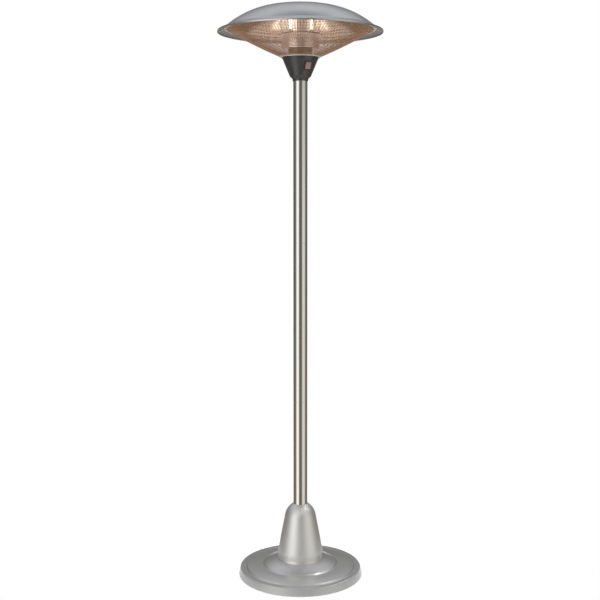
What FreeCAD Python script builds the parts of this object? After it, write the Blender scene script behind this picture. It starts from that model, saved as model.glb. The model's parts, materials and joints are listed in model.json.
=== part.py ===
import FreeCAD, Part
import math
import os

from FreeCAD import Placement, Rotation, Vector

# Free-standing electric patio heater: weighted base, three-piece pole, lamp head under a domed hood.
# Millimetres. The floor is z = 0, the pole stands on the Z axis and the front faces -Y.

# Driving dimensions

# How far a cut reaches past the face that it opens
cut_past = 1.0

# Base: pressed dish, walked from its crown out to the hem
base_radius = 226.0
base_wall = 1.2
floor_gap = 3.0
skirt_height = 28.5
skirt_taper = 6.2
skirt_rounding = 3.0
hem_width = 5.0
hem_rounding = 2.0
ledge_width = 19.8
ledge_step = 5.0
ledge_step_width = 4.8
terrace_width = 58.2
terrace_rounding = 300.0
terrace_rise = 5.5
terrace_crown = 2.0
dome_step = 5.0
dome_step_width = 5.5
dome_rounding = 150.0
dome_rise = 15.8
dome_crown = 3.0
small_rounding = 2.0
crown_hole_radius = 24.0

# Base: plate, ballast and feet
plate_wall = 1.5
plate_clearance = 1.6
ballast_thickness = 10.0
ballast_gap = 30.0
ballast_draft = 2.0
hub_radius = 62.0
hub_foot_width = 13.0
hub_foot_height = 6.0
lead_channel_width = 12.0
lead_channel_height = 7.0
foot_count = 6
foot_inset = 30.0
foot_radius = 15.0
foot_taper = 1.5
foot_recess_radius = 5.5
foot_recess_depth = 2.2
foot_screw_radius = 2.0
foot_screw_head_radius = 4.0
foot_screw_head_height = 1.5
foot_screw_bite = 7.0
screw_clearance = 0.3
thread_clearance = 0.1

# Base: gland for the supply lead, at the back
gland_height = 10.0
gland_bore_radius = 4.25
gland_body_radius = 5.8
gland_head_radius = 6.8
gland_head_length = 5.0
gland_thread_length = 13.0
gland_nut_length = 4.0
gland_clearance = 0.3

# Pole and its flange
pole_diameter = 50.0
pole_wall = 1.2
pole_section_length = 573.0
pole_end_bevel = 0.4
sleeve_length = 80.0
sleeve_wall = 2.0
sleeve_clearance = 0.3
flange_radius = 58.0
flange_thickness = 5.0
flange_collar_height = 5.7
flange_weld = 5.0
spigot_length = 70.0
spigot_wall = 3.0
bolt_count = 4
bolt_turn = 45.0
bolt_circle_radius = 42.0
bolt_radius = 4.0
bolt_length = 34.0
bolt_head_flats = 13.0
bolt_head_height = 5.3
washer_radius = 8.5
washer_thickness = 1.6

# Trim cone over the flange
cone_wall = 1.0
cone_seat_gap = 0.3
cone_lip_radius = 83.2
cone_lip_flare = 2.0
cone_lip_height = 8.0
cone_lip_rounding = 12.0
cone_waist_radius = 81.5
cone_waist_height = 28.6
cone_waist_rounding = 60.0
cone_shoulder_radius = 51.0
cone_shoulder_height = 187.6
cone_shoulder_rounding = 60.0
cone_cap_rise = 16.8
cone_pole_clearance = 0.6
crown_margin = 2.0

# Control housing, its neck and the chassis inside
neck_height = 5.0
neck_wall = 2.7
neck_clearance = 0.3
neck_taper = 1.0
housing_overlap = 2.5
housing_height = 75.5
housing_foot_radius = 36.9
housing_top_radius = 64.3
housing_wall = 2.6
housing_foot_drop = 11.0
housing_foot_rounding = 9.0
chassis_drop = 6.0
chassis_plate_thickness = 3.0
chassis_clearance = 0.5
chassis_pillar_radius = 18.0
chassis_shoulder_height = 10.0
chassis_bore_radius = 13.0
boss_count = 3
boss_turn = 90.0
boss_circle_radius = 47.0
boss_radius = 4.5
boss_length = 22.0
boss_screw_radius = 1.6
boss_screw_length = 13.0
boss_pilot_spare = 2.0
boss_screw_head_radius = 3.2
boss_screw_head_height = 1.8

# Rocker switch, to the right of the front
switch_turn = 29.5
switch_drop = 31.0
switch_flange_width = 25.5
switch_flange_height = 31.0
switch_flange_thickness = 1.8
switch_corner_rounding = 2.0
switch_body_inset = 1.7
switch_body_depth = 17.0
switch_body_clearance = 0.3
switch_pad_border = 2.0
switch_pad_proud = 0.6
switch_pad_rounding = 3.0
switch_window_border = 3.0
switch_window_rounding = 1.0
rocker_clearance = 0.4
rocker_dish_angle = 9.0
rocker_proud = 2.2
rocker_depth = 4.2
rocker_pivot_depth = 1.4
rocker_pin_radius = 1.5
rocker_pin_reach = 1.1
pin_clearance = 0.2
blade_width = 6.3
blade_thickness = 0.8
blade_length = 9.0
blade_spacing = 7.0

# Terminal block and tip-over cut-out, hung under the chassis plate
terminal_length = 34.0
terminal_depth = 14.0
terminal_height = 14.0
terminal_radius = 33.0
terminal_screw_radius = 2.4
terminal_screw_depth = 3.0
terminal_ways = 3
terminal_turn = -90.0
tip_radius = 35.5
tip_turn = 180.0
tip_bracket_width = 20.0
tip_bracket_depth = 12.0
tip_bracket_wall = 1.5
tip_bracket_drop = 12.0
tip_pin_radius = 1.2
tip_pin_drop = 7.0
tip_eye_radius = 3.2
tip_eye_width = 7.0
tip_rod_radius = 1.2
tip_length = 16.0
tip_bob_radius = 4.5
tip_bob_height = 8.0

# Wire guard: a bowl of bent rods with hoops welded outside them
guard_ring_wall = 1.2
guard_ring_lip_width = 7.0
guard_ring_lip_rise = 1.2
guard_ring_radius = 62.9
guard_ring_rounding = 3.0
guard_rod_count = 144
guard_rod_diameter = 1.3
guard_hoop_diameter = 1.3
hoop_sides = 12
guard_hoop_pitch = 8.0
guard_hoop_margin = 6.0
guard_weld_gap = 0.25
guard_foot_lift = 0.3
guard_bulge = 3.0
guard_brim_inset = 4.0
guard_rim_diameter = 4.0
guard_rim_margin = 3.0
guard_hood_gap = 1.6
clip_count = 4
clip_width = 14.0
clip_wall = 1.2
clip_hook = 5.0
clip_rise_width = 3.0
clip_reach = 5.5
clip_gap = 0.2
rivet_radius = 1.5
rivet_head_radius = 3.2
rivet_head_height = 1.3
rivet_clearance = 0.15

# Lamp tower
column_radius = 65.0
column_wall = 1.0
column_height = 81.5
column_foot_radius = 42.0
column_foot_height = 31.0
column_rounding = 3.0
column_ring_clearance = 0.6
lamp_plate_radius = 67.5
lamp_plate_wall = 2.0
lamp_bay_height = 83.0
lamp_count = 3
lamp_turn = 66.0
lamp_circle_radius = 42.0
lamp_tube_radius = 5.5
lamp_glass = 1.0
lamp_plug_clearance = 0.2
lamp_plug_length = 4.0
lamp_cap_height = 4.0
lamp_pin_radius = 2.0
lamp_pin_length = 5.0
lamp_pin_clearance = 0.3
filament_radius = 0.8
holder_radius = 7.5
holder_height = 8.0
reflector_radius = 57.0
reflector_wall = 1.0
trough_radius = 40.0
trough_offset = 13.0
tie_radius = 3.0
tie_circle_radius = 36.0
tie_tail = 3.0
tie_head_tail = 1.5
nut_flats = 10.0
nut_height = 4.0
cage_rod_count = 48
cage_rod_diameter = 1.4
cage_foot_radius = 65.5
cage_flare = 9.0
cage_end_gap = 0.3
cage_hoop_heights = (2.0, 9.0, 78.0)
top_plate_margin = 3.0

# Hood
hood_radius = 287.9
hood_wall = 1.2
hood_crown_radius = 1066.0
hood_crown_reach = 82.0
hood_shoulder_turn = 35.8
hood_flare_radius = 12.0
hood_brim_slope = 23.0
hood_brim_width = 23.3
hood_hem_radius = 1.8
hood_hem_height = 3.7
hood_screw_circle_radius = 62.0
hood_screw_radius = 2.5
hood_screw_head_radius = 6.5
hood_screw_head_height = 3.2
hood_screw_tail = 3.0
hood_nut_flats = 8.0
spacer_radius = 6.0
spacer_height = 9.0

# Heights and radii worked out from the dimensions above

FRONT = -90.0
POLE_NAMES = ("pole_lower", "pole_middle", "pole_upper")
SLEEVE_NAMES = ("joint_sleeve_lower", "joint_sleeve_upper")
ORIGIN = Vector(0, 0, 0)
UP = Vector(0, 0, 1)
BACK = Vector(0, 1, 0)

hem_top = floor_gap + base_wall
plate_top = hem_top + plate_wall
ballast_top = plate_top + ballast_thickness
ledge_height = floor_gap + skirt_height
ledge_radius = base_radius - skirt_taper
terrace_radius = ledge_radius - ledge_width - ledge_step_width
terrace_height = ledge_height + ledge_step
dome_foot_radius = terrace_radius - terrace_width
dome_foot_height = terrace_height + terrace_rise
dome_radius = dome_foot_radius - dome_step_width
dome_height = dome_foot_height + dome_step
crown_radius = cone_lip_radius + crown_margin
crown_height = dome_height + dome_rise
plate_radius = base_radius - base_wall - plate_clearance
ballast_radius = base_radius - base_wall - ballast_gap
foot_circle_radius = ballast_radius - foot_inset

pole_radius = pole_diameter / 2
pole_bore_radius = pole_radius - pole_wall
flange_top = crown_height + flange_thickness
pole_bottom = flange_top + flange_collar_height
pole_top = pole_bottom + len(POLE_NAMES) * pole_section_length
sleeve_radius = pole_bore_radius - sleeve_clearance

housing_bottom = pole_top - housing_overlap
housing_top = housing_bottom + housing_height
housing_wall_height = housing_height - housing_foot_drop
housing_slope = math.degrees(math.atan2(housing_top_radius - housing_foot_radius, housing_wall_height))
neck_bore_radius = pole_radius + neck_clearance
housing_foot_slope = housing_foot_drop / (housing_foot_radius - neck_bore_radius)
chassis_plate_bottom = housing_top - chassis_drop
chassis_plate_top = chassis_plate_bottom + chassis_plate_thickness

column_bottom = chassis_plate_top
lamp_plate_bottom = column_bottom + column_height
bay_bottom = lamp_plate_bottom + lamp_plate_wall
bay_top = bay_bottom + lamp_bay_height
top_plate_top = bay_top + lamp_plate_wall
tie_turn = lamp_turn - 180.0 / lamp_count
top_plate_radius = cage_foot_radius + cage_flare + top_plate_margin
spacer_top = top_plate_top + spacer_height


def crown_drop(radius):
    """How far the hood's crown has fallen below its apex at a radius, on its outer face."""
    return hood_crown_radius - math.sqrt(hood_crown_radius ** 2 - radius ** 2)


def crown_drop_inside(radius):
    """The same on the hood's inner face."""
    inner = hood_crown_radius - hood_wall
    return inner - math.sqrt(inner ** 2 - radius ** 2)


hood_top = spacer_top + crown_drop_inside(hood_screw_circle_radius + spacer_radius) + hood_wall


# Small tools for drawing

def flat(radius, height):
    """A point of the half plane that is turned about the pole."""
    return Vector(radius, 0, height)


def line(start, end):
    return Part.LineSegment(start, end).toShape()


def arc(start, middle, end):
    return Part.Arc(start, middle, end).toShape()


def rounded_path(corners):
    """Edges through (radius, height, rounding) corners."""
    edges = []
    here = flat(*corners[0][:2])
    for before, corner, after in zip(corners, corners[1:], corners[2:]):
        apex = flat(*corner[:2])
        inward = (apex - flat(*before[:2])).normalize()
        outward = (flat(*after[:2]) - apex).normalize()
        turn = inward.getAngle(outward)
        reach = corner[2] * math.tan(turn / 2)
        first = apex - inward * reach
        edges.append(line(here, first))
        here = apex + outward * reach
        if reach > 0:
            bisector = (outward - inward).normalize()
            middle = apex + bisector * (corner[2] / math.cos(turn / 2) - corner[2])
            edges.append(arc(first, middle, here))
    edges.append(line(here, flat(*corners[-1][:2])))
    return edges


def moved_corners(corners, wall):
    """The corners of a sheet's other face, a wall to the right of the way that they are walked."""
    points = [flat(*corner[:2]) for corner in corners]
    ways = [(end - start).normalize() for start, end in zip(points, points[1:])]
    moved = []
    for index, (point, corner) in enumerate(zip(points, corners)):
        before = ways[max(index - 1, 0)]
        after = ways[min(index, len(ways) - 1)]
        right_before = Vector(before.z, 0, -before.x)
        right_after = Vector(after.z, 0, -after.x)
        mitre = right_before + right_after
        place = point + mitre * (wall / mitre.dot(right_before))
        turns_right = before.x * after.z - before.z * after.x < 0
        rounding = corner[2] - wall if turns_right else corner[2] + wall
        moved.append((place.x, place.z, max(rounding, 0.0) if corner[2] > 0 else 0.0))
    return moved


def strip(face_edges, back_edges):
    """The flat area between the two faces of a sheet."""
    start = line(back_edges[0].firstVertex(True).Point, face_edges[0].firstVertex(True).Point)
    end = line(face_edges[-1].lastVertex(True).Point, back_edges[-1].lastVertex(True).Point)
    return Part.Face(Part.Wire([start] + face_edges + [end] + back_edges[::-1]))


def sheet(corners, wall):
    """The flat section of a bent sheet whose shown face follows the corners."""
    return strip(rounded_path(corners), rounded_path(moved_corners(corners, wall)))


def spun(face):
    return face.revolve(ORIGIN, UP, 360)


def turned(points):
    """A solid turned about the pole from a closed outline of (radius, height) points."""
    corners = [flat(*point) for point in points]
    return spun(Part.Face(Part.makePolygon(corners + corners[:1])))


def tube(inner, outer, bottom, top):
    return turned([(inner, bottom), (outer, bottom), (outer, top), (inner, top)])


def at_turn(shape, angle):
    """A copy of a shape built on +X, carried round to an angle to the right of the front."""
    copy = shape.copy()
    copy.rotate(ORIGIN, UP, FRONT + angle)
    return copy


def around(shape, count, first=0.0):
    return [at_turn(shape, first + 360.0 * index / count) for index in range(count)]


def hoop(radius, height, diameter):
    """A ring of wire, its round section drawn with flats."""
    angles = [2 * math.pi * side / hoop_sides for side in range(hoop_sides)]
    half = diameter / 2
    return turned([(radius + half * math.cos(a), height + half * math.sin(a)) for a in angles])


def rod(start, end, diameter):
    way = end - start
    return Part.makeCylinder(diameter / 2, way.Length, start, way)


def peg(radius, bottom, top, out):
    """An upright round peg on +X at a distance from the pole."""
    return Part.makeCylinder(radius, top - bottom, Vector(out, 0, bottom))


def hexagon(flats, bottom, height, out):
    """A hexagon head or nut on +X at a distance from the pole."""
    corner = flats / math.sqrt(3)
    angles = [math.radians(60 * step) for step in range(7)]
    points = [Vector(out + corner * math.cos(a), corner * math.sin(a), bottom) for a in angles]
    return Part.Face(Part.makePolygon(points)).extrude(UP * height)


def slab(width, height, bottom, top, rounding):
    """A block centred on Z with rounded upright edges."""
    block = Part.makeBox(width, height, top - bottom, Vector(-width / 2, -height / 2, bottom))
    upright = [e for e in block.Edges if abs(e.tangentAt(e.FirstParameter).z) > 0.5]
    return block.makeFillet(rounding, upright)


def between(shape, bottom, top):
    """The part of a shape between two heights."""
    return shape.common(Part.makeCylinder(2 * base_radius, top - bottom, Vector(0, 0, bottom)))


def mirrored(shape, height):
    """The shape turned over about a level plane."""
    return shape.mirror(Vector(0, 0, height), UP)


def save(name, *solids):
    shape = solids[0] if len(solids) == 1 else Part.makeCompound(list(solids))
    shape.exportStep("parts/" + name + ".step")


# Base

def base_cover():
    terrace_middle = (terrace_radius + dome_foot_radius) / 2
    terrace_middle_height = terrace_height + terrace_rise / 2 + terrace_crown
    dome_middle = (dome_radius + crown_radius) / 2
    dome_middle_height = dome_height + dome_rise / 2 + dome_crown
    corners = [
        (crown_hole_radius, crown_height, 0),
        (crown_radius, crown_height, small_rounding),
        (dome_middle, dome_middle_height, dome_rounding),
        (dome_radius, dome_height, small_rounding),
        (dome_foot_radius, dome_foot_height, small_rounding),
        (terrace_middle, terrace_middle_height, terrace_rounding),
        (terrace_radius, terrace_height, small_rounding),
        (terrace_radius + ledge_step_width, ledge_height, small_rounding),
        (ledge_radius, ledge_height, skirt_rounding),
        (base_radius, floor_gap, hem_rounding),
        (base_radius - hem_width, floor_gap, 0),
    ]
    shell = spun(sheet(corners, base_wall))
    bolt_hole = peg(
        bolt_radius + screw_clearance, crown_height - base_wall - cut_past,
        crown_height + cut_past, bolt_circle_radius)
    lead_hole = along_gland(gland_body_radius + gland_clearance, base_radius - ballast_gap, base_radius)
    return shell.cut(around(bolt_hole, bolt_count, bolt_turn) + [lead_hole])


def base_plate():
    disc = Part.makeCylinder(plate_radius, plate_wall, Vector(0, 0, hem_top))
    hole = peg(foot_screw_radius + screw_clearance, 0, 2 * plate_top, foot_circle_radius)
    return disc.cut(around(hole, foot_count))


def ballast():
    hub_top = crown_height - base_wall
    body = turned([
        (crown_hole_radius, plate_top),
        (ballast_radius, plate_top),
        (ballast_radius - ballast_draft, ballast_top),
        (hub_radius + hub_foot_width, ballast_top),
        (hub_radius, ballast_top + hub_foot_height),
        (hub_radius - ballast_draft, hub_top),
        (crown_hole_radius, hub_top),
    ])
    channel = Part.makeBox(
        lead_channel_width, base_radius, lead_channel_height, Vector(-lead_channel_width / 2, 0, plate_top))
    bolt_hole = peg(bolt_radius + screw_clearance, hub_top - bolt_length, hub_top, bolt_circle_radius)
    screw_hole = peg(
        foot_screw_radius + screw_clearance, plate_top, plate_top + foot_screw_bite + cut_past,
        foot_circle_radius)
    return body.cut([channel] + around(bolt_hole, bolt_count, bolt_turn) + around(screw_hole, foot_count))


def rubber_feet():
    pad = Part.makeCone(foot_radius - foot_taper, foot_radius, hem_top, Vector(foot_circle_radius, 0, 0))
    recess = peg(foot_recess_radius, -cut_past, foot_recess_depth, foot_circle_radius)
    hole = peg(foot_screw_radius + screw_clearance, -cut_past, 2 * hem_top, foot_circle_radius)
    return around(pad.cut([recess, hole]), foot_count)


def foot_screws():
    head_bottom = foot_recess_depth - foot_screw_head_height
    head = peg(foot_screw_head_radius, head_bottom, foot_recess_depth, foot_circle_radius)
    shank = peg(foot_screw_radius, head_bottom, plate_top + foot_screw_bite, foot_circle_radius)
    return around(head.fuse(shank), foot_count)


def skirt_radius(height):
    """Radius of the skirt's outer face at a height above its hem."""
    return base_radius - skirt_taper * height / skirt_height


def gland_faces():
    """Where the gland's head and nut stand off the skirt, which leans and is round."""
    outside = skirt_radius(gland_height - gland_head_radius) + gland_clearance
    bulge = gland_head_radius ** 2 / base_radius
    inside = skirt_radius(gland_height + gland_head_radius) - base_wall - bulge - gland_clearance
    return outside, inside


def along_gland(radius, start, end):
    """A round bar on the gland's axis, which points straight back."""
    centre = Vector(0, start, floor_gap + gland_height)
    return Part.makeCylinder(radius, end - start, centre, BACK)


def cable_gland():
    outside = gland_faces()[0]
    head = along_gland(gland_head_radius, outside, outside + gland_head_length)
    body = along_gland(gland_body_radius, outside - gland_thread_length, outside)
    bore = along_gland(gland_bore_radius, 0, outside + gland_head_length + cut_past)
    return head.fuse(body).cut(bore)


def gland_nut():
    inside = gland_faces()[1]
    ring = along_gland(gland_head_radius, inside - gland_nut_length, inside)
    return ring.cut(along_gland(gland_body_radius + thread_clearance, 0, base_radius))


# Pole

def pole_flange():
    body = turned([
        (sleeve_radius - spigot_wall, crown_height),
        (flange_radius, crown_height),
        (flange_radius, flange_top),
        (pole_radius + flange_weld, flange_top),
        (pole_radius, flange_top + flange_weld),
        (pole_radius, pole_bottom),
        (sleeve_radius, pole_bottom),
        (sleeve_radius, pole_bottom + spigot_length),
        (sleeve_radius - spigot_wall, pole_bottom + spigot_length),
    ])
    hole = peg(
        bolt_radius + screw_clearance, crown_height - cut_past, flange_top + cut_past, bolt_circle_radius)
    return body.cut(around(hole, bolt_count, bolt_turn))


def flange_bolts():
    seat = flange_top + washer_thickness
    shank = peg(bolt_radius, seat - bolt_length, seat + bolt_head_height / 2, bolt_circle_radius)
    head = hexagon(bolt_head_flats, seat, bolt_head_height, bolt_circle_radius)
    return around(head.fuse(shank), bolt_count, bolt_turn)


def flange_washers():
    disc = peg(washer_radius, flange_top, flange_top + washer_thickness, bolt_circle_radius)
    hole = peg(bolt_radius + screw_clearance, 0, pole_bottom, bolt_circle_radius)
    return around(disc.cut(hole), bolt_count, bolt_turn)


def pole_section(index):
    bottom = pole_bottom + index * pole_section_length
    top = bottom + pole_section_length
    bevelled = pole_radius - pole_end_bevel
    return turned([
        (pole_bore_radius, bottom),
        (bevelled, bottom),
        (pole_radius, bottom + pole_end_bevel),
        (pole_radius, top - pole_end_bevel),
        (bevelled, top),
        (pole_bore_radius, top),
    ])


def joint_sleeve(index):
    middle = pole_bottom + index * pole_section_length
    half = sleeve_length / 2
    return tube(sleeve_radius - sleeve_wall, sleeve_radius, middle - half, middle + half)


def foot_cone():
    seat = crown_height + cone_seat_gap
    shoulder = seat + cone_shoulder_height
    corners = [
        (pole_radius + cone_pole_clearance, shoulder + cone_cap_rise, 0),
        (cone_shoulder_radius, shoulder, cone_shoulder_rounding),
        (cone_waist_radius, seat + cone_waist_height, cone_waist_rounding),
        (cone_lip_radius - cone_lip_flare, seat + cone_lip_height, cone_lip_rounding),
        (cone_lip_radius, seat, 0),
    ]
    return between(spun(sheet(corners, cone_wall)), seat, shoulder + 2 * cone_cap_rise)


# Head: neck, housing and chassis

def housing_radius(height):
    """Radius of the housing's outer face."""
    return housing_top_radius - math.tan(math.radians(housing_slope)) * (housing_top - height)


def housing_bore(height):
    """Radius of the housing's inner face."""
    return housing_radius(height) - housing_wall / math.cos(math.radians(housing_slope))


def neck_collar():
    outer = neck_bore_radius + neck_wall
    top = housing_bottom - neck_clearance
    return turned([
        (neck_bore_radius, top - neck_height),
        (outer - neck_taper, top - neck_height),
        (outer, top + neck_wall * housing_foot_slope),
        (neck_bore_radius, top),
    ])


def switch_place():
    """Frame of the switch: X to its right, Y up the housing's slope, Z straight out."""
    height = housing_top - switch_drop
    turn = math.radians(switch_turn)
    slope = math.radians(housing_slope)
    out = Vector(math.sin(turn), -math.cos(turn), 0)
    normal = out * math.cos(slope) - UP * math.sin(slope)
    upslope = out * math.sin(slope) + UP * math.cos(slope)
    centre = out * housing_radius(height) + UP * height
    return Placement(centre, Rotation(upslope.cross(normal), upslope, normal, "ZXY"))


def on_switch(shape):
    placed = shape.copy()
    placed.Placement = switch_place()
    return placed


switch_body_width = switch_flange_width - 2 * switch_body_inset
switch_body_height = switch_flange_height - 2 * switch_body_inset
switch_window_width = switch_flange_width - 2 * switch_window_border
switch_window_height = switch_flange_height - 2 * switch_window_border
rocker_width = switch_window_width - 2 * rocker_clearance
rocker_swing_radius = switch_window_height / 2 - rocker_clearance


def control_housing():
    corners = [
        (housing_top_radius, housing_top, 0),
        (housing_foot_radius, housing_bottom + housing_foot_drop, housing_foot_rounding),
        (pole_bore_radius, housing_bottom - (neck_bore_radius - pole_bore_radius) * housing_foot_slope, 0),
    ]
    shell = between(spun(sheet(corners, housing_wall)), pole_bottom, housing_top)
    pole_hole = Part.makeCylinder(neck_bore_radius, housing_top - pole_bottom, Vector(0, 0, pole_bottom))
    floor = housing_bottom + housing_wall
    outer = turned([
        (0, floor), (housing_radius(floor), floor), (housing_top_radius, housing_top), (0, housing_top),
    ])
    inner = turned([
        (0, housing_bottom), (housing_bore(housing_bottom), housing_bottom),
        (housing_bore(housing_top), housing_top), (0, housing_top),
    ])
    boss = peg(boss_radius, chassis_plate_bottom - boss_length, chassis_plate_bottom, boss_circle_radius)
    pilot = peg(
        boss_screw_radius + thread_clearance, chassis_plate_bottom - boss_screw_length - boss_pilot_spare,
        housing_top, boss_circle_radius)
    bosses = [b.common(outer) for b in around(boss, boss_count, boss_turn)]
    pad = slab(
        switch_flange_width + 2 * switch_pad_border, switch_flange_height + 2 * switch_pad_border,
        -switch_body_depth, switch_pad_proud, switch_pad_rounding)
    opening = slab(
        switch_body_width + 2 * switch_body_clearance, switch_body_height + 2 * switch_body_clearance,
        -2 * switch_body_depth, switch_body_depth, switch_corner_rounding)
    body = shell.fuse(bosses + [on_switch(pad).cut(inner)])
    return body.cut([pole_hole, on_switch(opening)] + around(pilot, boss_count, boss_turn)).removeSplitter()


def head_chassis():
    plate_radius_here = housing_bore(chassis_plate_bottom) - chassis_clearance
    body = turned([
        (chassis_bore_radius, pole_top - spigot_length),
        (sleeve_radius, pole_top - spigot_length),
        (sleeve_radius, pole_top),
        (pole_radius, pole_top),
        (pole_radius, pole_top + chassis_shoulder_height),
        (chassis_pillar_radius, pole_top + chassis_shoulder_height),
        (chassis_pillar_radius, chassis_plate_bottom),
        (plate_radius_here, chassis_plate_bottom),
        (plate_radius_here, chassis_plate_top),
        (chassis_bore_radius, chassis_plate_top),
    ])
    hole = peg(
        boss_screw_radius + screw_clearance, chassis_plate_bottom - cut_past,
        housing_top, boss_circle_radius)
    return body.cut(around(hole, boss_count, boss_turn))


def chassis_screws():
    head_top = chassis_plate_top + boss_screw_head_height
    shank = peg(boss_screw_radius, chassis_plate_bottom - boss_screw_length, head_top, boss_circle_radius)
    head = peg(boss_screw_head_radius, chassis_plate_top, head_top, boss_circle_radius)
    return around(head.fuse(shank), boss_count, boss_turn)


# Rocker switch

def switch_frame():
    face = switch_pad_proud + switch_flange_thickness
    flange = slab(switch_flange_width, switch_flange_height, switch_pad_proud, face, switch_corner_rounding)
    body = slab(switch_body_width, switch_body_height, -switch_body_depth, face, switch_corner_rounding)
    swing = rocker_swing_radius * math.sin(math.radians(2 * rocker_dish_angle))
    well = rocker_depth + rocker_pivot_depth + swing
    window = slab(
        switch_window_width, switch_window_height, face - well, face + cut_past, switch_window_rounding)
    pivot = Part.makeCylinder(
        rocker_pin_radius + pin_clearance, 2 * switch_flange_width,
        Vector(-switch_flange_width, 0, face - rocker_pivot_depth), Vector(1, 0, 0))
    return on_switch(flange.fuse(body).cut([window, pivot]).removeSplitter())


def switch_rocker():
    """Dished rocker with its upper half pressed in, on two stub pins."""
    face = switch_pad_proud + switch_flange_thickness
    pivot = Vector(0, 0, face - rocker_pivot_depth)
    rise = math.tan(math.radians(rocker_dish_angle)) * rocker_swing_radius
    outline = [
        (-rocker_swing_radius, face - rocker_depth), (rocker_swing_radius, face - rocker_depth),
        (rocker_swing_radius, face + rocker_proud + rise), (0, face + rocker_proud),
        (-rocker_swing_radius, face + rocker_proud + rise),
    ]
    points = [Vector(-rocker_width / 2, along, out) for along, out in outline]
    block = Part.Face(Part.makePolygon(points + points[:1])).extrude(Vector(rocker_width, 0, 0))
    swing = Part.makeCylinder(
        rocker_swing_radius, 2 * rocker_width, pivot - Vector(rocker_width, 0, 0), Vector(1, 0, 0))
    pin_length = switch_window_width + 2 * rocker_pin_reach
    pins = Part.makeCylinder(
        rocker_pin_radius, pin_length, pivot - Vector(pin_length / 2, 0, 0), Vector(1, 0, 0))
    rocker = block.common(swing).fuse(pins).removeSplitter()
    rocker.rotate(pivot, Vector(1, 0, 0), -rocker_dish_angle)
    return on_switch(rocker)


def switch_terminals():
    blades = []
    for side in (-1, 1):
        for row in (-1, 1):
            corner = Vector(
                side * blade_spacing / 2 - blade_thickness / 2,
                row * blade_spacing - blade_width / 2,
                -switch_body_depth - blade_length)
            blades.append(on_switch(Part.makeBox(blade_thickness, blade_width, blade_length, corner)))
    return blades


# Terminal block and tip-over cut-out

def terminal_block():
    corner = Vector(
        terminal_radius - terminal_depth / 2, -terminal_length / 2, chassis_plate_bottom - terminal_height)
    block = Part.makeBox(terminal_depth, terminal_length, terminal_height, corner)
    pitch = terminal_length / terminal_ways
    well_floor = terminal_radius + terminal_depth / 2 - terminal_screw_depth
    wells = []
    for way in range(terminal_ways):
        across = (way - (terminal_ways - 1) / 2) * pitch
        start = Vector(well_floor, across, corner.z + terminal_height / 2)
        wells.append(Part.makeCylinder(terminal_screw_radius, terminal_depth, start, Vector(1, 0, 0)))
    return at_turn(block.cut(wells), terminal_turn)


def tip_pin_height():
    return chassis_plate_bottom - tip_pin_drop


def across_tip(radius, width):
    """A level round bar along the cut-out's pin, built on +X."""
    return Part.makeCylinder(radius, width, Vector(tip_radius, -width / 2, tip_pin_height()), BACK)


def tip_switch_bracket():
    inner_width = tip_bracket_width - 2 * tip_bracket_wall
    start = Vector(
        tip_radius - tip_bracket_depth / 2, -tip_bracket_width / 2, chassis_plate_bottom - tip_bracket_drop)
    block = Part.makeBox(tip_bracket_depth, tip_bracket_width, tip_bracket_drop, start)
    gap = Part.makeBox(
        2 * tip_bracket_depth, inner_width, tip_bracket_drop,
        Vector(tip_radius - tip_bracket_depth, -inner_width / 2, start.z - tip_bracket_wall))
    return at_turn(block.cut(gap).fuse(across_tip(tip_pin_radius, tip_bracket_width)), tip_turn)


def tip_switch_pendulum():
    pin = tip_pin_height()
    eye = across_tip(tip_eye_radius, tip_eye_width)
    bob_middle = pin - tip_length
    stem = peg(tip_rod_radius, bob_middle, pin, tip_radius)
    bob = peg(tip_bob_radius, bob_middle - tip_bob_height / 2, bob_middle + tip_bob_height / 2, tip_radius)
    hung = eye.fuse([stem, bob]).cut(across_tip(tip_pin_radius + pin_clearance, tip_bracket_width))
    return at_turn(hung.removeSplitter(), tip_turn)


# Hood: crown arc, shoulder arc, flare, brim and hem, each tangent to the last

def heading(degrees):
    """Unit vector outwards, tipped down by an angle."""
    return Vector(math.cos(math.radians(degrees)), 0, -math.sin(math.radians(degrees)))


def left_of(degrees):
    """Unit vector square to a heading, on its upper side."""
    return Vector(math.sin(math.radians(degrees)), 0, math.cos(math.radians(degrees)))


hood_crown_turn = math.degrees(math.asin(hood_crown_reach / hood_crown_radius))
hood_flare_start = hood_crown_turn + hood_shoulder_turn
hood_crown_sine = math.sin(math.radians(hood_crown_turn))
hood_flare_sine = math.sin(math.radians(hood_flare_start))
hood_brim_sine = math.sin(math.radians(hood_brim_slope))
hood_hem_inset = hood_hem_radius * (1 - hood_brim_sine)
hood_flare_width = hood_flare_radius * (hood_flare_sine - hood_brim_sine)
hood_shoulder_width = hood_radius - hood_hem_inset - hood_brim_width - hood_flare_width - hood_crown_reach
hood_shoulder_radius = hood_shoulder_width / (hood_flare_sine - hood_crown_sine)
hood_crown_centre = flat(0, hood_top - hood_crown_radius)
hood_shoulder_reach = hood_crown_radius - hood_shoulder_radius
hood_shoulder_centre = hood_crown_centre + left_of(hood_crown_turn) * hood_shoulder_reach
hood_flare_reach = hood_shoulder_radius + hood_flare_radius
hood_flare_centre = hood_shoulder_centre + left_of(hood_flare_start) * hood_flare_reach
hood_brim_start = hood_flare_centre - left_of(hood_brim_slope) * hood_flare_radius
hood_brim_length = hood_brim_width / math.cos(math.radians(hood_brim_slope))
hood_brim_end = hood_brim_start + heading(hood_brim_slope) * hood_brim_length
hood_hem_centre = hood_brim_end - left_of(hood_brim_slope) * hood_hem_radius


def sweep_arc(centre, radius, start, end):
    """Arc about a centre between two headings; a negative radius bends upwards."""
    middle = (start + end) / 2
    return arc(*[centre + left_of(angle) * radius for angle in (start, middle, end)])


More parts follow.
